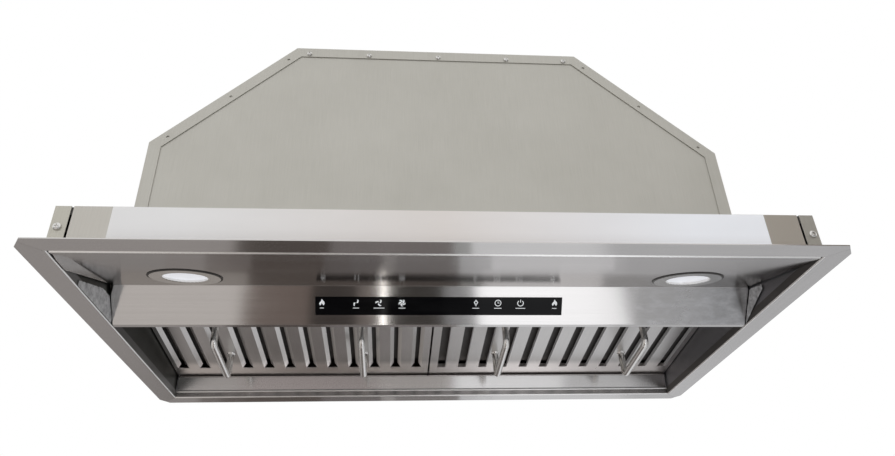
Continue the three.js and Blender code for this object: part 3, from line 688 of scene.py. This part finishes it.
def lamp_panel():
    """One bent sheet with side webs, two lamp holes and the slot of the touch glass."""
    line = rounded([(-IN_Y + 0.9, 1.8, 0), (-IN_Y + 2.5, 0.1, 0.2), (LAMP_BREAK, LAMP_BREAK_Z, 1.5),
                    (CREASE_Y, CREASE_Z, 1.2), (FASCIA_Y, FASCIA_Z, 1.4),
                    (FASCIA_RETURN, FASCIA_Z, 0)], 6)
    bm = bmesh.new()
    folded(bm, line, offset(line, THIN), full_width, lambda x, a, z: (x, a, z))
    web = [(-246, 2.8), (-236, 0.8), (-212, 0.8), (-113, 34.8), (-100, 39.6)]
    for x in (-PANEL_HALF, PANEL_HALF - THIN):
        a = [bm.verts.new((x, y, z)) for y, z in web]
        b = [bm.verts.new((x + THIN, y, z)) for y, z in web]
        bm.faces.new(a)
        bm.faces.new(b)
        for i in range(len(web)):
            j = (i + 1) % len(web)
            bm.faces.new((a[i], a[j], b[j], b[i]))
    obj = add_piece("lamp_and_control_panel", bm, "brushed_x", stands_for=("control_panel",))
    cutters = []
    for x in (-LAMP_X, LAMP_X):
        b = bmesh.new()
        bmesh.ops.create_cone(b, cap_ends=True, segments=48, radius1=LAMP_HOLE_R,
                              radius2=LAMP_HOLE_R, depth=24)
        upright = Matrix.Translation((x, LAMP_Y, lamp_z))
        cutters.append(cutter(b, upright @ Matrix.Rotation(LAMP_TILT, 4, "X")))
    b = bmesh.new()
    bmesh.ops.create_cube(b, size=1)
    bmesh.ops.scale(b, vec=(GLASS_W + 0.6, 12, GLASS_H + 0.6), verts=b.verts)
    cutters.append(cutter(b, glass_frame))
    carve(obj, cutters)
    lamp_end, fascia_start = (CREASE_Y - 1) * MM, (CREASE_Y - 3) * MM
    lip_end = (LIP_END - IN_Y) * MM
    # The lamp part takes the darker look, which carries painted shade.
    dress(obj, "brushed_lamp", lambda p: p.normal.z < -0.9 and p.center.y < lamp_end)
    dress(obj, "brushed_fascia", lambda p: -0.9 < p.normal.z < -0.3 and p.center.y > fascia_start)
    # Painted highlight on the bend at the front upstand.
    dress(obj, "painted_highlight_steel", lambda p: p.center.y < lip_end and p.normal.y < -0.3)
    weigh_normals(obj)


lamp_panel()


# ---- rail behind the filters: a leaning face with a rounded top fold -----------------------------
def filter_rail():
    """Stands on the rear upstand, leans to the front and folds back at the top."""
    line = rounded([(-IN_Y + 0.2, LIP + 0.8, 0), (-FILTER_REAR_Y + 3.3, RAIL_TOP, 3),
                    (-IN_Y - 0.4, RAIL_TOP, 0)], 8)
    bm = bmesh.new()
    folded(bm, line, offset(line, -THIN), full_width, lambda x, a, z: (x, -a, z))
    obj = add_piece("filter_rail", bm, "brushed_x", stands_for=("filter_rear_rail",))
    # Painted shadow on the top of the fold, under the filters' rear edges.
    dress(obj, "painted_shade_steel", lambda p: p.normal.z > 0.3 and p.center.z > (RAIL_TOP - 3.4) * MM)
    weigh_normals(obj)


filter_rail()


# ---- filter handles: bent round bar with a weld bead at each foot --------------------------------
filter_frame = (Matrix.Translation((0, FILTER_REAR_Y, FILTER_REAR_Z))
                @ Matrix.Rotation(math.radians(-FILTER_TILT), 4, "X"))


def handle(side, place, x):
    """A U of round bar that hangs under a filter, from front to rear at x."""
    line = rounded([(-HANDLE_FRONT, 0, 0), (-HANDLE_FRONT, -HANDLE_DROP, HANDLE_BEND),
                    (-HANDLE_REAR, -HANDLE_DROP, HANDLE_BEND), (-HANDLE_REAR, 0, 0)], 8)
    path = [filter_frame @ Vector((x, p.x, p.y)) for p in line]
    bm = bmesh.new()
    tube(bm, path, HANDLE_R)
    up = (filter_frame.to_3x3() @ Vector((0, 0, 1))).normalized()
    for foot in (path[0], path[-1]):
        tube(bm, [foot - up * h for h, r in WELD], [r for h, r in WELD])
    add_piece(f"handle_{side}_{place}", bm, "handle_steel", body=f"filter_{side}",
              stands_for=(f"filter_handle_{side}_{place}",), sharp=60)


for side, sign in (("left", -1), ("right", 1)):
    handle(side, "outer", sign * HANDLE_OUTER)
    handle(side, "inner", sign * HANDLE_INNER)


# ---- protective film -----------------------------------------------------------------------------
def film_sheet():
    """A closed skin on the skirt that lifts by a tenth of a millimetre in slow waves."""
    bm = bmesh.new()
    nx, nz = 180, 14
    x0, x1, z0, z1 = -FILM_HALF, FILM_HALF, FILM_FOOT, SKIRT_FRONT - 0.2
    grid = []
    for j in range(nz + 1):
        row = []
        for i in range(nx + 1):
            u, v = i / nx, j / nz
            x, z = x0 + (x1 - x0) * u, z0 + (z1 - z0) * v
            slow = noise.noise(Vector((x / 60, z / 25, 3.0)))
            quick = noise.noise(Vector((x / 18, z / 9, 7.0)))
            lift = 0.10 + 0.10 * slow + 0.05 * quick
            edge = min(1.0, 12 * min(u, 1 - u, (z - z0) / 200, (z1 - z) / 200))
            row.append((x, z, max(0.03, lift * edge)))
        grid.append(row)
    front = [[bm.verts.new((x, -OUT_Y - 0.02 - d, z)) for x, z, d in row] for row in grid]
    back = [[bm.verts.new((x, -OUT_Y - 0.005, z)) for x, z, d in row] for row in grid]
    for j in range(nz):
        for i in range(nx):
            bm.faces.new((front[j][i], front[j][i + 1], front[j + 1][i + 1], front[j + 1][i]))
            bm.faces.new((back[j][i], back[j + 1][i], back[j + 1][i + 1], back[j][i + 1]))
    rim = ([(0, i) for i in range(nx)] + [(j, nx) for j in range(nz)]
           + [(nz, i) for i in range(nx, 0, -1)] + [(j, 0) for j in range(nz, 0, -1)])
    for (j0, i0), (j1, i1) in zip(rim, rim[1:] + rim[:1]):
        bm.faces.new((front[j0][i0], back[j0][i0], back[j1][i1], front[j1][i1]))
    add_piece("film_on_front_skirt", bm, "protective_film", stands_for=("protective_film",))


film_sheet()


# ---- scraps of film left in the two front pockets ------------------------------------------------
def scrap(side, sign, stops):
    """A torn, slightly wavy piece of film along a side upstand; stops are (y, low, high)."""
    columns, parts = 24, 5
    lows, highs = [(y, low) for y, low, high in stops], [(y, high) for y, low, high in stops]
    start, end = stops[0][0], stops[-1][0]

    def place(y, z, out):
        wave = 0.35 * noise.noise(Vector((y / 9, z / 9, sign)))
        return sign * (SCRAP_X + out + wave), y, z

    bm = bmesh.new()
    grid = []
    for i in range(columns + 1):
        y = start + (end - start) * i / columns
        low = between(y, lows)
        high = max(low + 0.3, between(y, highs) + 1.6 * noise.noise(Vector((y / 5, sign, 4))))
        grid.append([(y, low + (high - low) * k / parts) for k in range(parts + 1)])
    for out in (0.0, 0.12):
        rows = [[bm.verts.new(place(y, z, out)) for y, z in row] for row in grid]
        for r0, r1 in zip(rows, rows[1:]):
            for k in range(parts):
                bm.faces.new((r0[k], r0[k + 1], r1[k + 1], r1[k]))
    bmesh.ops.bridge_loops(bm, edges=[e for e in bm.edges if len(e.link_faces) == 1])
    add_piece("film_scrap_" + side, bm, "film_scrap")


scrap("left", -1, [(-172, 1.6, 8), (-107, 1.6, 29), (-84, 1.6, 29), (-62, 1.6, 7)])
scrap("right", 1, [(-122, 25, 31), (-92, 14, 38.5), (-60, 1.4, 2.5)])


# ---- glyphs on the touch strip -------------------------------------------------------------------
# Along the glass: centre of each key's symbol, and length of its underline.
KEYS = {"flame_left": (-155, 5), "fan_of_2": (-110.7, 8), "fan_of_3": (-80.7, 14),
        "fan_of_5": (-50.6, 9), "lamp": (47.4, 9), "clock": (76.9, 10), "power": (107.2, 13),
        "flame_right": (153.2, 6)}
FLAME = [(0, 3.6), (0.9, 2.2), (2.2, 0.9), (2.5, -0.9), (1.5, -2.7), (0.5, -1.2), (0, -0.4),
         (-0.5, -1.2), (-1.5, -2.7), (-2.5, -0.9), (-1.6, 0.6), (-0.9, 1.3)]
BULB = [(0, 3.3), (2.1, 0.6), (0.9, -1.6), (-0.9, -1.6), (-2.1, 0.6)]
BULB_HOLE = [(0, 1.9), (1.1, 0.5), (0.5, -0.7), (-0.5, -0.7), (-1.1, 0.5)]


def flat_shape(bm, outline, hole=None):
    """A flat printed shape in the glass's own plane, x to the right and y up the fascia."""
    def ring(points, out):
        return [bm.verts.new(glass_frame @ Vector((x, -PRINT_AHEAD - out, y))) for x, y in points]

    loops = [(ring(points, 0.0), ring(points, PRINT_DEPTH))
             for points in ([outline, hole] if hole else [outline])]
    if hole:
        count = len(outline)
        for outer, inner in zip(*loops):
            for i in range(count):
                j = (i + 1) % count
                bm.faces.new((outer[i], outer[j], inner[j], inner[i]))
    else:
        bmesh.ops.triangulate(bm, faces=[bm.faces.new(loop) for loop in loops[0]])
    for lo, hi in loops:
        for i in range(len(lo)):
            j = (i + 1) % len(lo)
            bm.faces.new((lo[i], lo[j], hi[j], hi[i]))


def arc(cx, cy, r, n, start=0.0, sweep=2 * math.pi):
    """Points round a centre; a full circle leaves out the last, which is the first again."""
    return [(cx + r * math.cos(start + sweep * k / n), cy + r * math.sin(start + sweep * k / n))
            for k in range(n if sweep > 6.28 else n + 1)]


def arc_band(cx, cy, r0, r1, start, sweep, n=24):
    """A piece of a ring from radius r0 to r1."""
    return arc(cx, cy, r1, n, start, sweep) + arc(cx, cy, r0, n, start + sweep, -sweep)


def fan_blade(r, a):
    """One curved blade from the hub outwards, round (0, 0)."""
    pts = []
    for k in range(9):
        t = k / 8
        pts.append((r * t * math.cos(a + 0.9 * t), r * t * math.sin(a + 0.9 * t)))
    for k in range(8, -1, -1):
        t = k / 8
        w = a - 0.75 * math.sin(math.pi * min(t + 0.15, 1)) + 0.35 * t
        pts.append((r * t * math.cos(w), r * t * math.sin(w)))
    return pts[1:-1]


def bar(cx, cy, w, h):
    """A rectangle round its centre."""
    return [(cx - w / 2, cy - h / 2), (cx + w / 2, cy - h / 2),
            (cx + w / 2, cy + h / 2), (cx - w / 2, cy + h / 2)]


def glyphs():
    """Eight generic symbols in a row, each with an underline."""
    bm = bmesh.new()

    def draw(key, shape, scale=1.0, hole=None):
        def at(points):
            return [(KEYS[key][0] + x * scale, GLYPH_Y + y * scale) for x, y in points]
        flat_shape(bm, at(shape), hole=at(hole) if hole else None)

    for key in ("flame_left", "flame_right"):
        draw(key, FLAME, FLAME_SCALE)
    for count in (2, 3, 5):
        for k in range(count):
            draw(f"fan_of_{count}", fan_blade(FAN_R, 2 * math.pi * k / count + 0.4))
    draw("lamp", BULB, GLYPH_SCALE, hole=BULB_HOLE)
    draw("lamp", bar(0, -2.6, 1.5, 0.6), GLYPH_SCALE)
    draw("clock", arc(0, 0, 4.5, 28), hole=arc(0, 0, 3.5, 28))
    draw("clock", bar(0, 0.9, 0.5, 1.8), GLYPH_SCALE)
    draw("clock", bar(0.7, 0, 1.6, 0.5), GLYPH_SCALE)
    draw("power", arc_band(0, -0.2, 3.3, 4.4, math.radians(128), math.radians(284)))
    draw("power", bar(0, 2.0, 0.7, 2.8), GLYPH_SCALE)
    for key, (_, length) in KEYS.items():
        draw(key, bar(0, -UNDERLINE_DROP, length, UNDERLINE_HEIGHT))
    add_piece("touch_glyphs", bm, "glyph", smooth=False)


glyphs()


# ---- stage: floor, reflectors, lamps, world ------------------------------------------------------
def stage_sheet(name, corners, mat, at=(0, 0, 0)):
    """A single flat face beside the part."""
    me = bpy.data.meshes.new(name)
    me.from_pydata(corners, [], [tuple(range(len(corners)))])
    me.materials.append(mat)
    obj = bpy.data.objects.new(name, me)
    obj.location = at
    bpy.context.scene.collection.objects.link(obj)
    return obj


def floor():
    """A wide light floor far below, which the sheets mirror where no card lies."""
    look = Look("floor", roughness=0.9, specular_ior_level=0.0)
    clouds = look.noise((1.5, 1.5, 1.5), detail=3)
    tint = look.ramp(clouds, (0.3, (0.61, 0.605, 0.59)), (0.7, (0.65, 0.645, 0.63)))
    look.to("Base Color", tint)
    h = FLOOR_HALF
    stage_sheet("floor", [(-h, -h, 0), (h, -h, 0), (h, h, 0), (-h, h, 0)], look.mat,
                at=(0, 0, FLOOR_Z))


def card(name, corners, colour, strength):
    """A studio card that only reflections see, given by its corners."""
    mat = bpy.data.materials.new(name)
    mat.use_nodes = True
    tree = mat.node_tree
    tree.nodes.clear()
    out = tree.nodes.new("ShaderNodeOutputMaterial")
    emit = tree.nodes.new("ShaderNodeEmission")
    emit.inputs["Color"].default_value = (*colour, 1)
    emit.inputs["Strength"].default_value = strength
    tree.links.new(emit.outputs[0], out.inputs[0])
    obj = stage_sheet(name, corners, mat)
    obj.visible_camera = obj.visible_diffuse = False
    obj.visible_shadow = obj.visible_transmission = False


def strip_card(name, x0, x1, y0, y1, colour, strength, z=CARD_Z):
    """A card over the floor with straight sides."""
    card(name, [(x0, y0, z), (x1, y0, z), (x1, y1, z), (x0, y1, z)], colour, strength)


def fan_card(name, slope0, slope1, y0, y1, colour, strength, z=CARD_Z, apex=FOOT_Y):
    """A card over the floor whose sides run away from an apex at x = FOOT_X."""
    def at(slope, y):
        return (FOOT_X + slope * abs(y - apex), y, z)
    card(name, [at(slope0, y0), at(slope1, y0), at(slope1, y1), at(slope0, y1)], colour, strength)


def area(name, where, target, size, power, colour=(1, 1, 1)):
    """A soft lamp that no mirror shows."""
    data = bpy.data.lights.new(name, "AREA")
    data.shape, data.size, data.size_y = "RECTANGLE", size[0], size[1]
    data.energy, data.color = power, colour
    obj = bpy.data.objects.new(name, data)
    obj.location = where
    obj.rotation_euler = (Vector(target) - Vector(where)).to_track_quat("-Z", "Y").to_euler()
    obj.visible_glossy = False
    bpy.context.scene.collection.objects.link(obj)


def world():
    """Even light from all round; camera, mirrors and clear materials see plain white."""
    w = bpy.data.worlds.new("world")
    bpy.context.scene.world = w
    w.use_nodes = True
    t = w.node_tree
    t.nodes.clear()

    def background(colour, strength):
        n = t.nodes.new("ShaderNodeBackground")
        n.inputs["Color"].default_value = (*colour, 1)
        n.inputs["Strength"].default_value = strength
        return n.outputs[0]

    path = t.nodes.new("ShaderNodeLightPath")
    seen = path.outputs["Is Camera Ray"]
    for other in ("Is Glossy Ray", "Is Transmission Ray"):
        add = t.nodes.new("ShaderNodeMath")
        add.operation, add.use_clamp = "ADD", True
        t.links.new(seen, add.inputs[0])
        t.links.new(path.outputs[other], add.inputs[1])
        seen = add.outputs[0]
    mix = t.nodes.new("ShaderNodeMixShader")
    out = t.nodes.new("ShaderNodeOutputWorld")
    t.links.new(seen, mix.inputs[0])
    t.links.new(background((0.95, 0.97, 1), 0.6), mix.inputs[1])
    t.links.new(background((1, 1, 1), 1.0), mix.inputs[2])
    t.links.new(mix.outputs[0], out.inputs[0])


WARM, COOL, SLIT_WHITE = (1.0, 0.86, 0.80), (0.96, 0.97, 1.0), (1, 0.98, 0.95)
FRONT, MIDDLE = (-2.4, -0.6), (-0.6, 0.5)

# Straight cards: name, x from and to, y from and to, colour, strength.
STRIPS = (
    ("left", (-2.6, -0.56), FRONT, (1.0, 0.95, 0.92), 0.70),
    ("brown", (-0.56, -0.34), FRONT, (1.0, 0.80, 0.72), 0.20),
    ("dark_left", (-0.34, -0.18), FRONT, WARM, 0.06),
    ("brown_inner", (-0.18, -0.11), FRONT, WARM, 0.20),
    ("dark_right", (-0.11, 0.115), FRONT, (1.0, 0.93, 0.86), 0.05),
    ("grey", (0.115, 0.225), FRONT, COOL, 0.32),
    ("bright", (0.225, 0.75), FRONT, COOL, 1.62),
    ("right", (0.75, 2.8), FRONT, COOL, 0.50),
    ("middle_left", (-2.6, -0.50), MIDDLE, (1.0, 0.94, 0.90), 0.55),
    ("middle_dark", (-0.50, -0.11), MIDDLE, WARM, 0.18),
    ("middle_dark_right", (-0.11, 0.15), MIDDLE, WARM, 0.16),
    ("middle_bright", (0.22, 0.60), MIDDLE, COOL, 1.2),
    ("middle_right", (0.60, 2.8), MIDDLE, COOL, 0.60),
)
SLITS = (
    ("slit", (-0.100, -0.084), FRONT, SLIT_WHITE, 4.0),
    ("middle_slit", (-0.102, -0.082), MIDDLE, SLIT_WHITE, 3.4),
)
# Fans of cards: name, y from and to, apex, then for each card its side slopes, colour, strength.
FANS = (
    ("back", (0.6, 3.2), FOOT_Y, (
        (-0.8, -0.25, (1.0, 0.94, 0.92), 0.40), (-0.25, -0.10, WARM, 0.11),
        (-0.10, 0.10, (1.0, 0.91, 0.90), 0.23), (0.13, 0.355, COOL, 0.86),
        (0.355, 1.2, COOL, 0.62))),
    ("rear", (3.2, 7.0), FOOT_Y, (
        (-0.8, -0.27, (1.0, 0.94, 0.92), 0.32), (-0.27, -0.10, WARM, 0.14),
        (-0.10, -0.01, (1.0, 0.93, 0.93), 0.20), (-0.01, 0.10, (1.0, 0.95, 0.95), 0.30),
        (0.10, 0.355, COOL, 0.80), (0.355, 1.2, COOL, 0.70))),
    ("deep", (7.0, 19.0), FOOT_Y, (
        (-1.0, -0.32, (1.0, 0.97, 0.95), 0.36), (-0.32, -0.20, (1.0, 0.90, 0.88), 0.30),
        (-0.20, -0.06, (1.0, 0.78, 0.70), 0.075), (-0.06, 0.085, (1.0, 0.92, 0.91), 0.115),
        (0.085, 0.145, COOL, 0.25), (0.145, 0.33, COOL, 0.95), (0.33, 1.2, COOL, 0.38))),
    ("far", (-3.0, -14.0), MIRROR_Y, (
        (-1.0, -0.21, (1.0, 0.95, 0.93), 0.54), (-0.21, -0.02, (1.0, 0.89, 0.88), 0.47),
        (-0.02, 0.09, (1.0, 0.95, 0.93), 0.56), (0.09, 0.25, COOL, 1.25),
        (0.25, 0.36, COOL, 0.80), (0.36, 1.2, COOL, 0.50))),
)


def reflections():
    """Cards under the hood: dark in the middle, one thin lit slit, bright right of it."""
    for cards, z in ((STRIPS, CARD_Z), (SLITS, SLIT_Z)):
        for name, across, along, colour, strength in cards:
            strip_card("card_" + name, *across, *along, colour, strength, z)
    fan_card("card_rear_slit", -0.014, 0.006, 3.95, 4.65, SLIT_WHITE, 0.9, z=SLIT_Z)
    for name, along, apex, fans in FANS:
        for k, (slope0, slope1, colour, strength) in enumerate(fans):
            fan_card(f"card_{name}_{k}", slope0, slope1, *along, colour, strength, apex=apex)
    y, x0, x1, z0, z1 = -3.26, 2.34, 7.0, 0.6, 3.2
    card("card_right_front", [(x0, y, z0), (x1, y, z0), (x1, y, z1), (x0, y, z1)],
         (1.0, 0.86, 0.76), 0.26)


floor()
world()
reflections()
area("key", (-2.6, -3.2, 2.4), (0, 0, 0.1), (3.2, 3.2), 55)
area("fill", (2.8, -2.6, 1.2), (0, 0, 0.1), (2.4, 2.4), 32, (0.93, 0.96, 1.0))

bpy.context.scene.view_settings.view_transform = "Standard"
